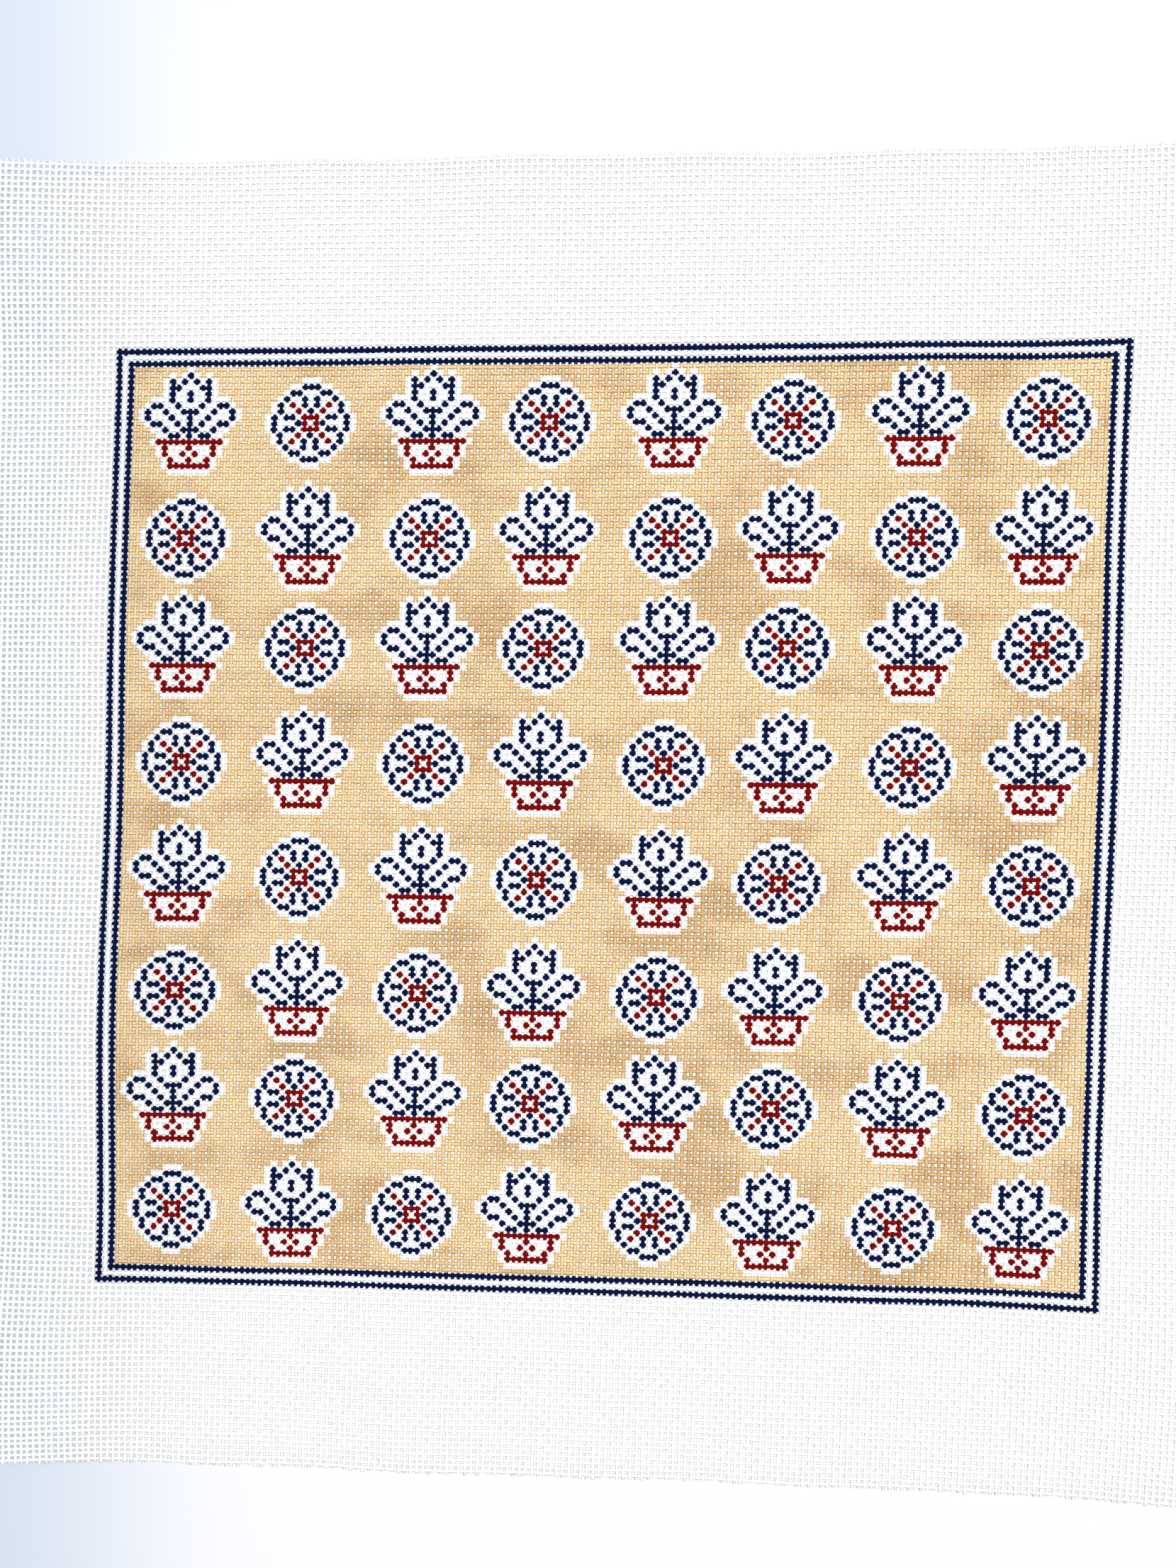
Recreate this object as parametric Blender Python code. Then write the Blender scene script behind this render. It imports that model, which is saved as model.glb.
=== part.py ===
"""Needlepoint canvas: one piece of open mono canvas, cut on the thread, lying loosely on a flat surface.

The painted panel in its middle is colour alone, and the holes of the weave are about a millimetre wide,
so the solid is the whole sheet of cloth: its slightly skewed outline, its uneven cut edges, and the
places where the stiff, sized cloth stands off the surface.

Axes: +X across the panel to its right, +Y up the panel, +Z out of its painted face.
Origin: the middle of the outline's box, at the level of the surface that the cloth lies on.
"""

import math

import bmesh
import bpy
from mathutils import Matrix, Vector

MM = 0.001
INCH = 25.4 * MM

# The weave, counted along and down the cloth
THREADS_TO_THE_INCH = 13
THREADS_ACROSS = 225
THREADS_DOWN = 218
PITCH_ACROSS = INCH / THREADS_TO_THE_INCH
PITCH_DOWN = 0.987 * PITCH_ACROSS
CLOTH_WIDTH = THREADS_ACROSS * PITCH_ACROSS
CLOTH_HEIGHT = THREADS_DOWN * PITCH_DOWN
CLOTH_THICKNESS = 1.0 * MM

# The upright threads lean to the right by this much for each unit up the cloth
SKEW = 0.0213

# The cut edges draw in between their corners, and wander a little on the way. The power says how soon
# this fades from an edge towards the painted panel. It is odd, so that it keeps the edge's side.
EDGE_DRAW = 0.9 * MM
EDGE_WANDER = 0.5 * MM
EDGE_WAVE = 63 * MM
EDGE_FADE_POWER = 9

# The solid is a net of cells of about this size
CELL = 11 * MM

# Where the cloth stands off the surface. Each row is one swell: the middle of it, half its length and
# half its width, how far its length is turned from +X, and how high it rises.
# name, across mm, up mm, half long mm, half wide mm, turn degrees, rise mm
SWELLS = (
    ("right of the middle", 62, 38, 104, 78, 70, 4.6),
    ("right edge", 196, 30, 112, 74, 84, 4.2),
    ("lower left edge", -176, -58, 96, 78, 100, 4.4),
    ("upper left edge", -150, 62, 96, 70, 80, 2.4),
    ("top left corner", -214, 204, 92, 58, 135, 3.4),
    ("top edge", -20, 214, 84, 40, 0, 1.5),
    ("top right corner", 206, 186, 104, 62, 52, 3.6),
    ("lower left corner", -206, -196, 96, 60, 46, 4.8),
    ("lower right corner", 208, -188, 118, 70, 132, 5.0),
    ("ripple across the upper left", -88, 118, 78, 26, 38, 1.0),
    ("ripple across the top right", 118, 128, 70, 25, -34, 1.1),
    ("ripple left of the middle", -74, 6, 72, 27, 50, 1.2),
    ("ripple below the middle", 34, -64, 84, 25, 34, 1.1),
    ("ripple at the lower left", -104, -128, 64, 26, 30, 0.9),
    ("ripple at the lower right", 124, -104, 74, 27, 44, 1.2),
    ("ripple in the bottom margin", -54, -198, 66, 26, -12, 1.3),
    ("ripple in the right margin", 186, -74, 62, 26, 76, 1.2),
)

CANVAS_WHITE = (0.86, 0.85, 0.81, 1.0)
CANVAS_ROUGHNESS = 0.88


def clear_scene():
    for old in list(bpy.data.objects):
        bpy.data.objects.remove(old, do_unlink=True)


def rise_at(across, up):
    """How far the cloth stands off the surface there. Each swell is a smooth mound that ends at its rim."""
    height = 0.0
    for _name, mid_across, mid_up, half_long, half_wide, turn, rise in SWELLS:
        dx = across - mid_across * MM
        dy = up - mid_up * MM
        cos, sin = math.cos(math.radians(turn)), math.sin(math.radians(turn))
        along = (dx * cos + dy * sin) / (half_long * MM)
        aside = (dy * cos - dx * sin) / (half_wide * MM)
        reach = math.hypot(along, aside)
        if reach < 1.0:
            height += rise * MM * (0.5 + 0.5 * math.cos(math.pi * reach))
    return height


def drawn_in(along, half_length, phase):
    """How far a cut edge lies inside the straight line between its corners, at this place along it."""
    inside = 1.0 - (along / half_length) ** 2
    wander = 0.5 + 0.5 * math.sin(2.0 * math.pi * along / EDGE_WAVE + phase)
    return inside * (EDGE_DRAW + EDGE_WANDER * wander)


def laid(across, up):
    """Where a point of the flat, square-cut cloth lies."""
    half_width, half_height = CLOTH_WIDTH / 2.0, CLOTH_HEIGHT / 2.0
    side = across / half_width
    end = up / half_height
    across -= side**EDGE_FADE_POWER * drawn_in(up, half_height, side)
    up -= end**EDGE_FADE_POWER * drawn_in(across, half_width, 2.0 * end)
    return Vector((across + SKEW * up, up, rise_at(across, up)))


def fabric(name, colour, roughness):
    material = bpy.data.materials.new(name)
    material.use_nodes = True
    shader = material.node_tree.nodes["Principled BSDF"]
    shader.inputs["Base Color"].default_value = colour
    shader.inputs["Roughness"].default_value = roughness
    shader.inputs["Metallic"].default_value = 0.0
    material.diffuse_color = colour
    return material


def make_canvas():
    """The sheet: a flat net of cells, laid on its swells, and then given its thickness upwards."""
    net = bmesh.new()
    bmesh.ops.create_grid(
        net,
        x_segments=round(CLOTH_WIDTH / CELL),
        y_segments=round(CLOTH_HEIGHT / CELL),
        size=0.5,
        matrix=Matrix.Diagonal((CLOTH_WIDTH, CLOTH_HEIGHT, 1.0, 1.0)),
    )
    for vert in net.verts:
        vert.co = laid(vert.co.x, vert.co.y)
    bmesh.ops.triangulate(net, faces=net.faces)
    mesh = bpy.data.meshes.new("canvas")
    net.to_mesh(mesh)
    net.free()
    mesh.shade_smooth()
    mesh.set_sharp_from_angle(angle=math.radians(40.0))
    mesh.materials.append(fabric("sized cotton canvas", CANVAS_WHITE, CANVAS_ROUGHNESS))

    canvas = bpy.data.objects.new("canvas", mesh)
    bpy.context.scene.collection.objects.link(canvas)
    cloth = canvas.modifiers.new("cloth thickness", "SOLIDIFY")
    cloth.thickness = CLOTH_THICKNESS
    cloth.offset = 1.0
    return canvas


clear_scene()
make_canvas()
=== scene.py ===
"""Painted needlepoint canvas, woven thread by thread and laid loosely on a table.

Every thread of the plain weave is a real, closed strand that goes over one and under one. The strands
follow the same skew, drawn edges and swells as the sheet that they replace. What is painted is charted
crossing by crossing and carried on the strands as attributes, which the material turns into paint.
"""

import math

import bmesh
import bpy
import numpy as np
from mathutils import Matrix, Vector


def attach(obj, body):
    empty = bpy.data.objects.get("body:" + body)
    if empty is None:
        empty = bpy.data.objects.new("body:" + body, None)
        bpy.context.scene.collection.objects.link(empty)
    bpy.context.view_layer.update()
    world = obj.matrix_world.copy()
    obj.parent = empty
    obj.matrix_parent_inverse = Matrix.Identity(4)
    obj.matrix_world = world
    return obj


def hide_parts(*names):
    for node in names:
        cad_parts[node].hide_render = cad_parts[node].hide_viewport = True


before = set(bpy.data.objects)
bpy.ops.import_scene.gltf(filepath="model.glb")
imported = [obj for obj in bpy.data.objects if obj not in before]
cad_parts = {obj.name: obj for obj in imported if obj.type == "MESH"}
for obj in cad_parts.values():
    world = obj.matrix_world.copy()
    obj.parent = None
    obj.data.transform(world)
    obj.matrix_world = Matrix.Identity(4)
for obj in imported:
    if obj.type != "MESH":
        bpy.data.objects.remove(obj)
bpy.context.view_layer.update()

MM = 0.001
INCH = 25.4 * MM

# The weave, counted along and down the cloth. A pitch is the distance from one thread to the next.
THREADS_TO_THE_INCH = 13
THREADS_ACROSS = 225
THREADS_DOWN = 218
PITCH_ACROSS = INCH / THREADS_TO_THE_INCH
ROWS_CLOSER = 0.987
PITCH_DOWN = ROWS_CLOSER * PITCH_ACROSS
CLOTH_WIDTH = THREADS_ACROSS * PITCH_ACROSS
CLOTH_HEIGHT = THREADS_DOWN * PITCH_DOWN

# How the whole cloth lies: its skew, its drawn-in edges and the swells where it stands off the table
SKEW = 0.0213
EDGE_DRAW = 0.9 * MM
EDGE_WANDER = 0.5 * MM
EDGE_WAVE = 63 * MM
EDGE_FADE_POWER = 9
# across mm, up mm, half long mm, half wide mm, turn degrees, rise mm
SWELLS = (
    (62, 38, 104, 78, 70, 4.6),
    (196, 30, 112, 74, 84, 4.2),
    (-176, -58, 96, 78, 100, 4.4),
    (-150, 62, 96, 70, 80, 2.4),
    (-214, 204, 92, 58, 135, 3.4),
    (-20, 214, 84, 40, 0, 1.5),
    (206, 186, 104, 62, 52, 3.6),
    (-206, -196, 96, 60, 46, 4.8),
    (208, -188, 118, 70, 132, 5.0),
    (-88, 118, 78, 26, 38, 1.0),
    (118, 128, 70, 25, -34, 1.1),
    (-74, 6, 72, 27, 50, 1.2),
    (34, -64, 84, 25, 34, 1.1),
    (-104, -128, 64, 26, 30, 0.9),
    (124, -104, 74, 27, 44, 1.2),
    (-54, -198, 66, 26, -12, 1.3),
    (186, -74, 62, 26, 76, 1.2),
)

# One strand: how wide and thick it is, how far each side of a crossing it stays level on top, and how
# much wider it is pressed there and narrower underneath
STRAND_WIDTH = 0.59 * PITCH_ACROSS
STRAND_THICKNESS = 0.36 * MM
FLOAT = 0.30
PRESSED = 0.09
# What makes the strands uneven, as shares of a pitch or of the strand's own width
SLUB = 0.07
STRAND_SWAY = 0.045
CROSSING_JITTER = 0.018
# How many pitches the slow waves of its width, and of its place, take for each radian
SLUB_WAVES = (5.3, 1.9)
SWAY_WAVE = 8.1
# The cut ends: how far they stand out past the last crossing, in pitches, and the level they lie at
STUB = 0.62
STUB_UNEVEN = 0.20
STUB_LEVEL = 0.1
# How far apart the straight rods stand before they are woven, in their own radii
ROD_SPACING = 3.0
# How far each strand's twist is shifted from its neighbour's, in mm
TWIST_SHIFT = 7.3
# A strand that goes on in the next band stops this far from the middle of the crossing that hides its end
BAND_GAP = 0.03
BANDS = 5
SEED = 1309

# The painted panel, counted in crossings from the cut edge
MARGIN = 31
LINE_RINGS = (0, 2)
FIELD_RING = 3
REPEATS = 8
BARE, WHITE, TAN, RED, NAVY = range(5)
CHART_KEY = {"W": WHITE, "R": RED, "N": NAVY}
# The paints in the order in which they cover each other: the chart's code, how far the paint runs along
# the threads from the middle of its crossing, and how much less far down a thread's sides, in pitches
PAINTS = {
    "tan": (TAN, 0.52, 0.0),
    "white": (WHITE, 0.54, 0.0),
    "red": (RED, 0.61, 0.13),
    "navy": (NAVY, 0.63, 0.15),
}
PAINT_UNEVEN = 0.03
# How far in and out a brushed edge wanders in all, and what counts as far from any paint, in pitches
PAINT_RAGGED = 0.36
UNPAINTED = 1.5

# A tulip in a footed pot: the left half of each row, up to and with its middle crossing
TULIP_POT = (
    ".......N",
    "....N.NW",
    "....NNWW",
    "....NWWN",
    "....NWWN",
    ".NN..NWW",
    "NWWN..NN",
    "NWWWN..N",
    ".NNWWN.N",
    "...NWWNN",
    "....NNWN",
    "..RRRRRR",
    "...RWWWR",
    "...RWWRW",
    "....RWWR",
    "....RRRR",
)
# A round eight-petalled rosette: its upper left quarter, with its middle row and middle column
ROSETTE = (
    ".....NN",
    "...NNWW",
    "..NWWNW",
    ".NWRWNW",
    ".NWWRWN",
    "NWNNWRR",
    "NWWWNRW",
)

# The camera: the picture's own frame, its lens in pixels, and where the cloth's middle lies before it
FRAME_WIDTH, FRAME_HEIGHT = 1659, 2212
LENS_PIXELS = 1662
SENSOR_LONG_SIDE = 36.0
CLOTH_TURN = (0.95, -2.812, -0.459)
CLOTH_FROM_CAMERA = (3.71 * MM, -12.39 * MM, -373.07 * MM)

# The table top: half its side, and how far it lies below the cloth
FLOOR_HALF_SIDE = 3.0
FLOOR_DROP = 0.1 * MM
# Where its own light fades in: the axis, the mm at which all is shade and the mm at which all is light
LIGHT_ROUND_CLOTH = (("X", -208, -106), ("X", 235, 190), ("Y", -315, -240), ("Y", 330, 258))
LIGHT_UNDER_CLOTH = (("X", -200, -95), ("X", 226, 210), ("Y", -214, -200), ("Y", 214, 200))


def rise_at(across, up):
    """How far the cloth stands off the table, for whole arrays of places on it."""
    height = np.zeros_like(across)
    for mid_across, mid_up, half_long, half_wide, turn, rise in SWELLS:
        dx = across - mid_across * MM
        dy = up - mid_up * MM
        cos, sin = math.cos(math.radians(turn)), math.sin(math.radians(turn))
        along = (dx * cos + dy * sin) / (half_long * MM)
        aside = (dy * cos - dx * sin) / (half_wide * MM)
        reach = np.minimum(np.hypot(along, aside), 1.0)
        height += rise * MM * (0.5 + 0.5 * np.cos(math.pi * reach))
    return height


def drawn_in(along, half_length, phase):
    inside = 1.0 - np.minimum(np.abs(along / half_length), 1.0) ** 2
    wander = 0.5 + 0.5 * np.sin(2.0 * math.pi * along / EDGE_WAVE + phase)
    return inside * (EDGE_DRAW + EDGE_WANDER * wander)


def laid(across, up, above):
    """Where places on the flat, square-cut cloth lie, with their height above its underside."""
    half_width, half_height = CLOTH_WIDTH / 2.0, CLOTH_HEIGHT / 2.0
    side = across / half_width
    end = up / half_height
    across = across - side**EDGE_FADE_POWER * drawn_in(up, half_height, side)
    up = up - end**EDGE_FADE_POWER * drawn_in(across, half_width, 2.0 * end)
    return np.stack([across + SKEW * up, up, rise_at(across, up) + above], axis=1)


def whole_chart(half_rows, mirrored_down=False):
    rows = [row + row[-2::-1] for row in half_rows]
    return rows + rows[-2::-1] if mirrored_down else rows


def stamp(chart, motif, column, row):
    """Paints a motif with its middle there, and a white outline one crossing wide all round it."""
    top = row - len(motif) // 2
    left = column - len(motif[0]) // 2
    cells = {
        (left + x, top + y): CHART_KEY[mark]
        for y, line in enumerate(motif)
        for x, mark in enumerate(line)
        if mark != "."
    }
    for x, y in cells:
        for dx, dy in ((0, 0), (1, 0), (-1, 0), (0, 1), (0, -1)):
            chart[y + dy, x + dx] = WHITE
    for (x, y), paint in cells.items():
        chart[y, x] = paint


def painted_chart():
    """The paint at each crossing, as rows from the bottom of the cloth up."""
    chart = np.full((THREADS_DOWN, THREADS_ACROSS), BARE)
    rows, columns = np.mgrid[0:THREADS_DOWN, 0:THREADS_ACROSS]
    ring = np.minimum.reduce([
        columns - MARGIN,
        rows - MARGIN,
        THREADS_ACROSS - 1 - MARGIN - columns,
        THREADS_DOWN - 1 - MARGIN - rows,
    ])
    chart[ring >= 0] = WHITE
    chart[np.isin(ring, LINE_RINGS)] = NAVY
    chart[ring >= FIELD_RING] = TAN
    tulip_pot = whole_chart(TULIP_POT)
    rosette = whole_chart(ROSETTE, mirrored_down=True)
    start = MARGIN + FIELD_RING
    field_width = THREADS_ACROSS - 2 * start
    field_height = THREADS_DOWN - 2 * start
    for down in range(REPEATS):
        for across in range(REPEATS):
            column = start + round((across + 0.5) * field_width / REPEATS - 0.5)
            row = start + round((down + 0.5) * field_height / REPEATS - 0.5)
            stamp(chart, tulip_pot if (across + down) % 2 == 0 else rosette, column, row)
    return chart[::-1]


def stations(first, last, parity, raw_start, raw_end):
    """The rings of a strand that is on top where crossing + parity is even: place in pitches, and level.

    The level is +1 on top of a crossing and -1 under one. A strand starts and ends either in a cut stub
    or at a crossing that it passes under."""
    rings = []
    for crossing in range(first, last + 1):
        if (crossing + parity) % 2 == 0:
            rings += [(crossing - FLOAT, 1.0), (crossing + FLOAT, 1.0)]
        else:
            rings.append((crossing, -1.0))
    if raw_start:
        rings.insert(0, (first - STUB, STUB_LEVEL))
    else:
        rings[0] = (first + BAND_GAP, -1.0)
    if raw_end:
        rings.append((last + STUB, STUB_LEVEL))
    else:
        rings[-1] = (last - BAND_GAP, -1.0)
    return np.array(rings)


def rods(count, ring_count):
    """A row of three-sided rods side by side, each cut into rings one unit apart, as one mesh."""
    rod = bmesh.new()
    upright = Matrix.Translation((0, (ring_count - 1) / 2.0, 0)) @ Matrix.Rotation(math.radians(90), 4, "X")
    bmesh.ops.create_cone(
        rod, cap_ends=True, segments=3, radius1=1.0, radius2=1.0, depth=ring_count - 1, matrix=upright
    )
    long_edges = [edge for edge in rod.edges if abs(edge.verts[0].co.y - edge.verts[1].co.y) > 0.5]
    bmesh.ops.subdivide_edges(rod, edges=long_edges, cuts=ring_count - 2)
    mesh = bpy.data.meshes.new("rod")
    rod.to_mesh(mesh)
    rod.free()
    holder = bpy.data.objects.new("rod", mesh)
    bpy.context.scene.collection.objects.link(holder)
    row = holder.modifiers.new("row", "ARRAY")
    row.count = count
    row.use_relative_offset = False
    row.use_constant_offset = True
    row.constant_offset_displace = (ROD_SPACING, 0.0, 0.0)
    placed = bpy.data.meshes.new_from_object(holder.evaluated_get(bpy.context.evaluated_depsgraph_get()))
    bpy.data.objects.remove(holder, do_unlink=True)
    bpy.data.meshes.remove(mesh)
    return placed


def from_paint(lines, number, place, code):
    """How far points lie from the nearest crossing with that paint, in pitches along their own strand."""
    nearest = np.full(len(place), UNPAINTED)
    for step in (-1, 0, 1):
        crossing = np.clip(np.rint(place).astype(int) + step, 0, lines.shape[1] - 1)
        away = np.abs(place - crossing)
        nearest = np.where(lines[number, crossing] == code, np.minimum(nearest, away), nearest)
    return nearest


def strand_set(numbers, rings, chart, upright, raw_start, raw_end, random):
    """Strands of one family, woven into place: their mesh, and for each point its distance along its
    strand in mm, its place round it, and how far it lies from each paint."""
    mesh = rods(len(numbers), len(rings))
    points = np.empty(len(mesh.vertices) * 3)
    mesh.vertices.foreach_get("co", points)
    points = points.reshape(-1, 3)
    strand = np.arange(len(points)) // (len(points) // len(numbers))
    ring = np.rint(points[:, 1]).astype(int)
    side = np.sign(np.round(points[:, 0] - ROD_SPACING * strand, 3))
    crest = points[:, 2] > 0.5

    place = rings[ring, 0] + 0.0
    place += random.normal(0.0, CROSSING_JITTER, (len(numbers), len(rings)))[strand, ring]
    uneven_ends = random.uniform(-STUB_UNEVEN, STUB_UNEVEN, (len(numbers), 2))
    if raw_start:
        place += np.where(ring == 0, uneven_ends[strand, 0], 0.0)
    if raw_end:
        place += np.where(ring == len(rings) - 1, uneven_ends[strand, 1], 0.0)

    phase = random.uniform(0.0, 2.0 * math.pi, (len(numbers), 3))[strand]
    plump = random.normal(1.0, SLUB / 2.0, len(numbers))[strand]
    slow, quick = SLUB_WAVES
    plump += SLUB * np.sin(place / slow + phase[:, 0]) * np.sin(place / quick + phase[:, 1])
    sway = STRAND_SWAY * np.sin(place / SWAY_WAVE + phase[:, 2])
    sway += random.normal(0.0, CROSSING_JITTER, (len(numbers), len(rings)))[strand, ring]
    number = np.asarray(numbers)[strand]
    line = number + sway

    level = rings[ring, 1]
    reach = side * plump * (1.0 + PRESSED * level) * STRAND_WIDTH / 2.0
    above = STRAND_THICKNESS * (1.0 + level / 2.0 + np.where(crest, 0.5 * plump, -0.5))
    mid_across, mid_down = (THREADS_ACROSS - 1) / 2.0, (THREADS_DOWN - 1) / 2.0
    if upright:
        across = (line - mid_across) * PITCH_ACROSS + reach
        up = (place - mid_down) * PITCH_DOWN
    else:
        across = (place - mid_across) * PITCH_ACROSS
        up = (line - mid_down) * PITCH_DOWN - reach
    mesh.vertices.foreach_set("co", laid(across, up, above).ravel())

    facts = {"along": place * PITCH_ACROSS / MM + TWIST_SHIFT * strand, "round": 0.5 + 0.5 * side}
    uneven = random.normal(0.0, PAINT_UNEVEN, (len(numbers), len(rings)))[strand, ring]
    for name, (code, _reach, _pointed) in PAINTS.items():
        facts[name] = from_paint(chart.T if upright else chart, number, rings[ring, 0], code) + uneven
    return mesh, facts


def band_ends(band):
    """The first crossing row of a band of the cloth, and the first of the next one."""
    return round(THREADS_DOWN * band / BANDS), round(THREADS_DOWN * (band + 1) / BANDS)


def cut_row(boundary, parity):
    """The row at or just below a band's boundary where an upright strand passes under."""
    return boundary if (boundary + parity) % 2 == 1 else boundary - 1


def weave_band(band, chart, random):
    """One band of the cloth, from side to side: its own rows, and the upright strands between them."""
    low, high = band_ends(band)
    at_bottom, at_top = band == 0, band == BANDS - 1
    sets = []
    for parity in (0, 1):
        numbers = range(parity, THREADS_ACROSS, 2)
        first = 0 if at_bottom else cut_row(low, parity)
        last = THREADS_DOWN - 1 if at_top else cut_row(high, parity)
        rings = stations(first, last, parity, at_bottom, at_top)
        sets.append(strand_set(numbers, rings, chart, True, at_bottom, at_top, random))
    for parity in (0, 1):
        numbers = [row for row in range(low, high) if row % 2 == parity]
        rings = stations(0, THREADS_ACROSS - 1, 1 - parity, True, True)
        sets.append(strand_set(numbers, rings, chart, False, True, True, random))

    cloth = bmesh.new()
    for mesh, _facts in sets:
        cloth.from_mesh(mesh)
    woven = bpy.data.meshes.new(f"canvas_band_{band + 1}")
    cloth.to_mesh(woven)
    cloth.free()
    for mesh, _facts in sets:
        bpy.data.meshes.remove(mesh)
    facts = {key: np.concatenate([found[key] for _mesh, found in sets]) for key in sets[0][1]}

    for name in PAINTS:
        layer = woven.attributes.new(f"from_{name}", "FLOAT", "POINT")
        layer.data.foreach_set("value", facts[name].astype(np.float32))
    corners = np.empty(len(woven.loops), dtype=np.int32)
    woven.loops.foreach_get("vertex_index", corners)
    yarn = woven.uv_layers.new(name="yarn")
    yarn_places = np.stack([facts["along"][corners], facts["round"][corners]], axis=1)
    yarn.data.foreach_set("uv", yarn_places.astype(np.float32).ravel())
    woven.shade_smooth()

    piece = bpy.data.objects.new(woven.name, woven)
    bpy.context.scene.collection.objects.link(piece)
    return piece, (high - low) * PITCH_DOWN


def linear(hex_colour):
    """An sRGB hex colour as the linear values that a shader takes."""
    parts = [int(hex_colour[i : i + 2], 16) / 255.0 for i in (1, 3, 5)]
    return (*(c / 12.92 if c <= 0.04045 else ((c + 0.055) / 1.055) ** 2.4 for c in parts), 1.0)


def add(tree, kind, settings):
    """Adds a node, with its properties and inputs set or linked, and gives back its outputs.

    A setting that is another node's output is linked, and a colour is given as sRGB hex."""
    node = tree.nodes.new(kind)
    for key, value in settings.items():
        if isinstance(value, bpy.types.NodeSocket):
            tree.links.new(value, node.inputs[key])
        elif isinstance(key, str) and hasattr(node, key):
            setattr(node, key, value)
        elif isinstance(value, str):
            node.inputs[key].default_value = linear(value)
        else:
            node.inputs[key].default_value = value
    return node.outputs


def per_metre(size_mm):
    """The scale of a texture on Object coordinates whose features are this many millimetres across."""
    return 1000.0 / size_mm


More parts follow.
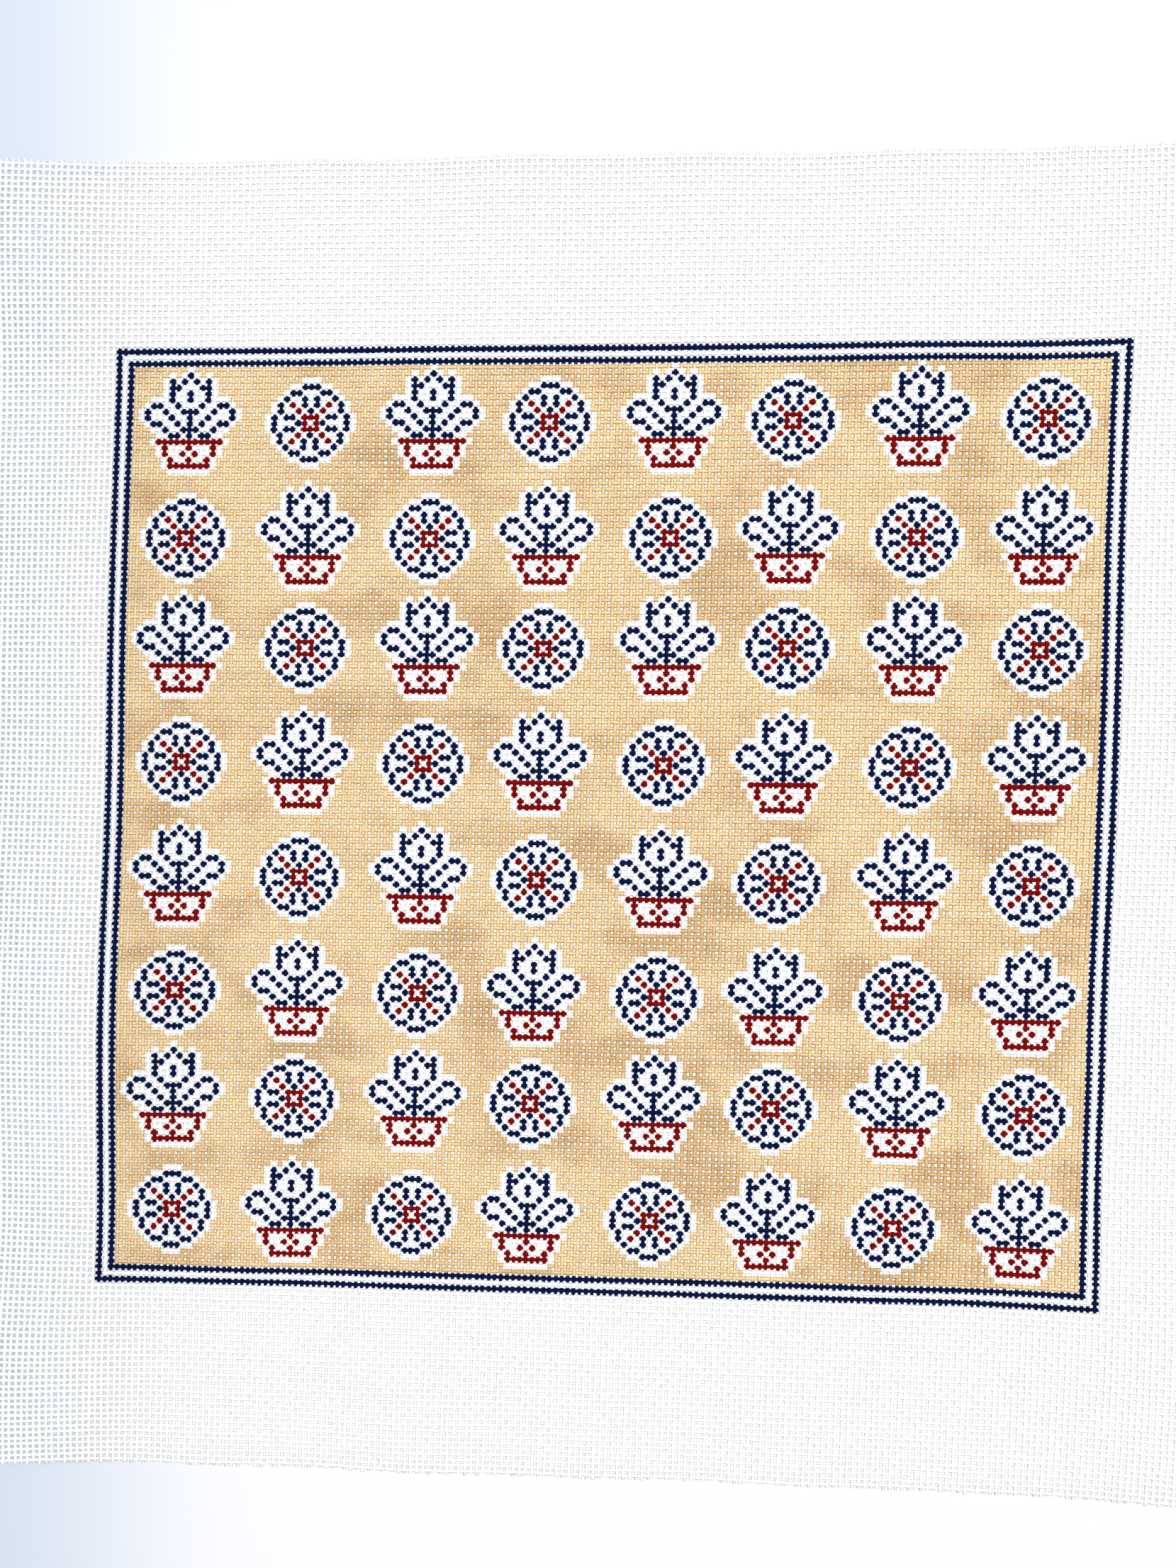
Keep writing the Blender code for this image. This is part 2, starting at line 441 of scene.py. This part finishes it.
def painted_canvas():
    """Sized cotton mono canvas, hand painted with acrylics.

    Cotton threads stiffened with starch: matte, a neutral white, with the faint slant of their twist. The
    paint is brushed on crossing by crossing, so it ends half-way to the next one with a ragged edge. The
    tan ground is thinner and was brushed over in broad slanting strokes, which left it mottled."""
    material = bpy.data.materials.new("hand painted sized cotton canvas")
    material.use_nodes = True
    tree = material.node_tree
    tree.nodes.clear()
    space = add(tree, "ShaderNodeTexCoord", {})["Object"]
    yarn = add(tree, "ShaderNodeUVMap", {"uv_map": "yarn"})["UV"]
    smooth = {"interpolation_type": "SMOOTHSTEP"}
    mixed = {"data_type": "RGBA"}

    slanted = {"Vector": space, "Rotation": (0.0, 0.0, math.radians(38.0)), "Scale": (1.0, 2.1, 1.0)}
    brushed = add(tree, "ShaderNodeMapping", slanted)["Vector"]
    # What the cloth is uneven by: where it is placed, the size of its features in mm, detail, roughness
    patterns = {
        "ragged": (space, 0.55, 2.0, 0.6),
        "strokes": (brushed, 46.0, 3.0, 0.55),
        "blots": (space, 15.0, 2.0, 0.5),
        "threads": (space, 1.9, 1.0, 0.5),
        "fibres": (space, 0.16, 2.0, 0.6),
    }
    noise = {}
    for name, (place, size_mm, detail, rough) in patterns.items():
        settings = {"Vector": place, "Scale": per_metre(size_mm), "Detail": detail, "Roughness": rough}
        noise[name] = add(tree, "ShaderNodeTexNoise", settings)["Fac"]

    # Each tone runs from one colour to the next as its pattern goes from the low value to the high one
    tones = {
        "bare": ("threads", 0.3, 0.7, "#EEEFED", "#F7F8F8"),
        "tan": ("threads", 0.3, 0.72, "#D6B887", "#E0C597"),
        "deep tan": ("threads", 0.3, 0.72, "#BD9969", "#C9A779"),
        "white": ("ragged", 0.35, 0.75, "#FAFAFA", "#F0F1F4"),
        "red": ("ragged", 0.3, 0.75, "#660102", "#820808"),
        "navy": ("ragged", 0.35, 0.8, "#020A28", "#0A1F57"),
    }
    tone = {}
    for name, (pattern, low, high, below, above) in tones.items():
        span = {**smooth, "Value": noise[pattern], "From Min": low, "From Max": high}
        share = add(tree, "ShaderNodeMapRange", span)["Result"]
        tone[name] = add(tree, "ShaderNodeMix", {**mixed, "Factor": share, 6: below, 7: above})[2]
    patchy = {"operation": "MULTIPLY_ADD", 0: noise["blots"], 1: 0.35, 2: noise["strokes"]}
    patchy = add(tree, "ShaderNodeMath", patchy)["Value"]
    mottled = {**smooth, "Value": patchy, "From Min": 0.58, "From Max": 0.86}
    mottled = add(tree, "ShaderNodeMapRange", mottled)["Result"]
    tan = {**mixed, "Factor": mottled, 6: tone["tan"], 7: tone["deep tan"]}
    tone["tan"] = add(tree, "ShaderNodeMix", tan)[2]
    thinned = {"tan": "#E9D6B0", "white": "#FAFAFA", "red": "#A8403A", "navy": "#4A68A0"}

    round_strand = add(tree, "ShaderNodeSeparateXYZ", {"Vector": yarn})["Y"]
    off_crest = {"operation": "MULTIPLY_ADD", 0: round_strand, 1: 2.0, 2: -1.0}
    off_crest = add(tree, "ShaderNodeMath", off_crest)["Value"]
    down_side = add(tree, "ShaderNodeMath", {"operation": "ABSOLUTE", 0: off_crest})["Value"]
    wander = {"operation": "SUBTRACT", 0: noise["ragged"], 1: 0.5}
    wander = add(tree, "ShaderNodeMath", wander)["Value"]

    colour = tone["bare"]
    painted = 0.0
    for name, (_code, reach, pointed) in PAINTS.items():
        away = add(tree, "ShaderNodeAttribute", {"attribute_name": f"from_{name}"})["Fac"]
        for shift, share in ((down_side, pointed), (wander, PAINT_RAGGED)):
            shifted = {"operation": "MULTIPLY_ADD", 0: shift, 1: share, 2: away}
            away = add(tree, "ShaderNodeMath", shifted)["Value"]
        brink = {"Value": away, "From Min": reach - 0.03, "From Max": reach + 0.04}
        mask = add(tree, "ShaderNodeMapRange", {**smooth, **brink, "To Min": 1.0, "To Max": 0.0})["Result"]
        fringe = {"Value": away, "From Min": reach - 0.09, "From Max": reach + 0.01}
        thin = add(tree, "ShaderNodeMapRange", {**smooth, **fringe})["Result"]
        paint = add(tree, "ShaderNodeMix", {**mixed, "Factor": thin, 6: tone[name], 7: thinned[name]})[2]
        colour = add(tree, "ShaderNodeMix", {**mixed, "Factor": mask, 6: colour, 7: paint})[2]
        painted = add(tree, "ShaderNodeMath", {"operation": "MAXIMUM", 0: painted, 1: mask})["Value"]

    # The yarn's twist is finer than the render can show, so it is drawn as coarse as one turn in 0.9 mm
    turns = {"wave_type": "BANDS", "bands_direction": "DIAGONAL", "Vector": yarn}
    twist = add(tree, "ShaderNodeTexWave", {**turns, "Scale": 0.70, "Distortion": 0.8, "Detail": 1.0})["Fac"]
    # Painted shade: the grooves of the twist are darkened towards a deep brown
    groove_shade = {**smooth, "Value": twist, "From Min": 0.0, "From Max": 0.45, "To Min": 0.15, "To Max": 0.0}
    groove_shade = add(tree, "ShaderNodeMapRange", groove_shade)["Result"]
    shade = add(tree, "ShaderNodeMix", {**mixed, "Factor": 0.5, 6: colour, 7: "#3A3026"})[2]
    colour = add(tree, "ShaderNodeMix", {**mixed, "Factor": groove_shade, 6: colour, 7: shade})[2]
    relief = add(tree, "ShaderNodeMath", {"operation": "ADD", 0: twist, 1: noise["fibres"]})["Value"]
    bump = {"Strength": 0.7, "Distance": 0.056 * MM, "Height": relief}
    bump = add(tree, "ShaderNodeBump", bump)["Normal"]
    # Dry threads are rougher than painted ones
    fuzz = {"Value": noise["fibres"], "From Min": 0.2, "From Max": 0.8, "To Min": 0.82, "To Max": 0.96}
    fuzz = add(tree, "ShaderNodeMapRange", fuzz)["Result"]
    rough = {"operation": "MULTIPLY_ADD", 0: painted, 1: -0.16, 2: fuzz}
    rough = add(tree, "ShaderNodeMath", rough)["Value"]
    finish = {"Metallic": 0.0, "IOR": 1.47, "Specular IOR Level": 0.02}
    surface = {**finish, "Base Color": colour, "Roughness": rough, "Normal": bump}
    shader = add(tree, "ShaderNodeBsdfPrincipled", surface)["BSDF"]
    add(tree, "ShaderNodeOutputMaterial", {"Surface": shader})
    return material


def make_canvas(floor):
    chart = painted_chart()
    material = painted_canvas()
    for band in range(BANDS):
        random = np.random.default_rng(SEED + band)
        piece, cut_length = weave_band(band, chart, random)
        piece.data.materials.append(material)
        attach(piece, "root")
        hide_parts("canvas")


def make_floor():
    """A pale table top, glowing with a painted pool of light and shade, a hair below the cloth so that
    neither cuts the other.
    """
    top = bmesh.new()
    bmesh.ops.create_grid(top, x_segments=1, y_segments=1, size=FLOOR_HALF_SIDE)
    bmesh.ops.translate(top, verts=top.verts, vec=(0, 0, -FLOOR_DROP))
    mesh = bpy.data.meshes.new("floor")
    top.to_mesh(mesh)
    top.free()
    floor = bpy.data.objects.new("floor", mesh)
    bpy.context.scene.collection.objects.link(floor)
    material = bpy.data.materials.new("white laminate glowing with painted light")
    material.use_nodes = True
    tree = material.node_tree
    tree.nodes.clear()
    # The table glows with painted light, most of all under the cloth, so that it stays pale in the small
    # holes of the weave. Round the cloth it is white, and it fades into a cooler painted shade at the left
    # and further out.
    place = add(tree, "ShaderNodeTexCoord", {})["Object"]
    sides = add(tree, "ShaderNodeSeparateXYZ", {"Vector": place})
    shares = []
    for spans in (LIGHT_ROUND_CLOTH, LIGHT_UNDER_CLOTH):
        share = 1.0
        for side, shade, light in spans:
            span = {"Value": sides[side], "From Min": shade * MM, "From Max": light * MM}
            lit = add(tree, "ShaderNodeMapRange", {"interpolation_type": "SMOOTHSTEP", **span})["Result"]
            share = add(tree, "ShaderNodeMath", {"operation": "MULTIPLY", 0: share, 1: lit})["Value"]
        shares.append(share)
    round_cloth, under_cloth = shares
    open_table = {"data_type": "RGBA", "Factor": round_cloth, 6: "#A9B4C0", 7: "#D8D6D3"}
    open_table = add(tree, "ShaderNodeMix", open_table)[2]
    glow = {"data_type": "RGBA", "Factor": under_cloth, 6: open_table, 7: "#FFFFFF"}
    glow = add(tree, "ShaderNodeMix", glow)[2]
    base = {"data_type": "RGBA", "Factor": under_cloth, 6: "#757983", 7: "#3A3B3E"}
    base = add(tree, "ShaderNodeMix", base)[2]
    surface = {"Roughness": 0.6, "Emission Strength": 1.0, "Emission Color": glow, "Base Color": base}
    shader = add(tree, "ShaderNodeBsdfPrincipled", surface)["BSDF"]
    add(tree, "ShaderNodeOutputMaterial", {"Surface": shader})
    mesh.materials.append(material)
    return floor


def make_camera():
    """The camera is placed by where the cloth lies before it, from the photograph's own perspective."""
    turn = Matrix.Identity(3)
    for angle, axis in zip(CLOTH_TURN, "XYZ"):
        turn = turn @ Matrix.Rotation(math.radians(angle), 3, axis)
    back = turn.transposed()
    data = bpy.data.cameras.new("camera")
    data.sensor_fit = "VERTICAL"
    data.sensor_height = SENSOR_LONG_SIDE
    data.sensor_width = SENSOR_LONG_SIDE * FRAME_WIDTH / FRAME_HEIGHT
    data.lens = SENSOR_LONG_SIDE * LENS_PIXELS / FRAME_HEIGHT
    data.clip_start = 0.01
    camera = bpy.data.objects.new("camera", data)
    camera.matrix_world = Matrix.Translation(-(back @ Vector(CLOTH_FROM_CAMERA))) @ back.to_4x4()
    bpy.context.scene.collection.objects.link(camera)
    bpy.context.scene.camera = camera


def make_light(name, place, size, power, colour):
    data = bpy.data.lights.new(name, "AREA")
    data.shape = "SQUARE"
    data.size = size
    data.energy = power
    data.color = linear(colour)[:3]
    light = bpy.data.objects.new(name, data)
    light.location = place
    light.rotation_euler = (-Vector(place)).to_track_quat("-Z", "Y").to_euler()
    bpy.context.scene.collection.objects.link(light)


def light_studio():
    """A bright, soft room: an even white surround, a wide window light from the upper left, and a weaker,
    slightly warmer one from the right."""
    world = bpy.data.worlds.new("studio")
    world.use_nodes = True
    background = world.node_tree.nodes["Background"]
    background.inputs["Color"].default_value = linear("#F7FAFF")
    background.inputs["Strength"].default_value = 0.78
    bpy.context.scene.world = world
    make_light("window", (-0.42, 0.52, 1.6), 0.5, 15.0, "#FFFFFF")
    make_light("right fill", (0.62, 0.25, 0.95), 0.5, 8.0, "#FFFCF6")
    bpy.context.scene.view_settings.view_transform = "Standard"


make_camera()
light_studio()
make_canvas(make_floor())
